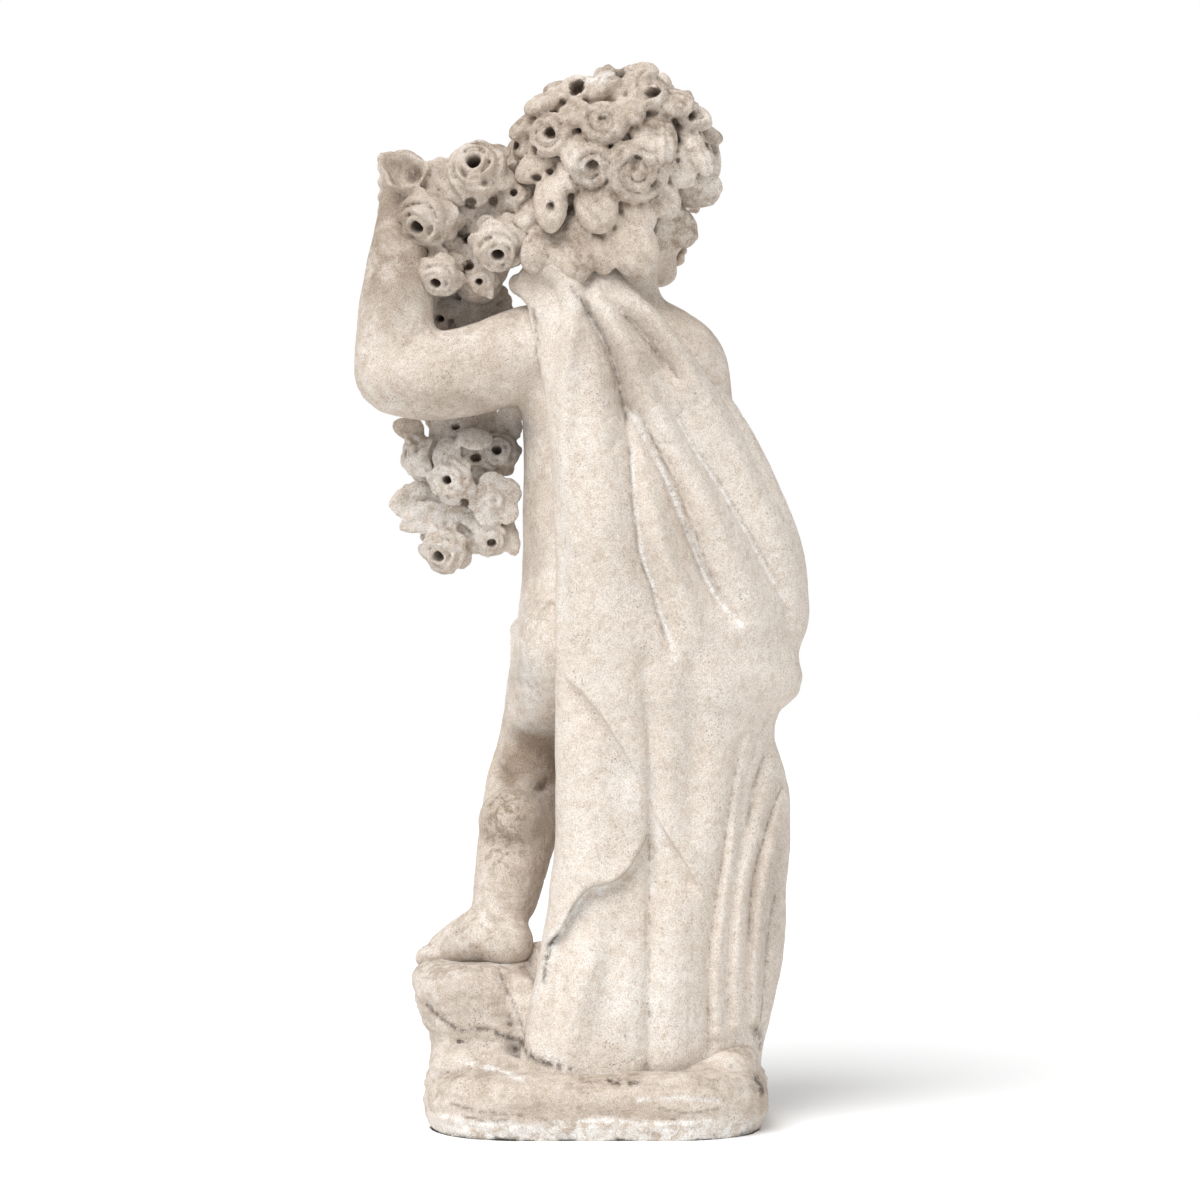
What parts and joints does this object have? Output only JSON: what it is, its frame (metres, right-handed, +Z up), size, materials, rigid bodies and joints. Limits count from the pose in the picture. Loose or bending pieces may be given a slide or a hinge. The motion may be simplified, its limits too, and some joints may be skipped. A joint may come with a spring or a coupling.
{
  "type": "stone putto statue",
  "caption": "Standing stone putto with curly hair, a long cloak and a raised arm that carries a garland of roses, carved in one with its rough plinth.",
  "frame": {"origin": "centre of the plinth's flat underside", "axes": "+Z up; the figure faces -Y, and its raised left arm is on the +X side"},
  "size_m": [0.454, 0.2988, 1.0602],
  "materials": {
    "stone": "weathered, fine-grained sandy limestone, matt, with pale lime in the folds and dark dirt in the crevices"
  },
  "bodies": {
    "root": {"putto_statue": "stone"}
  },
  "joints": []
}
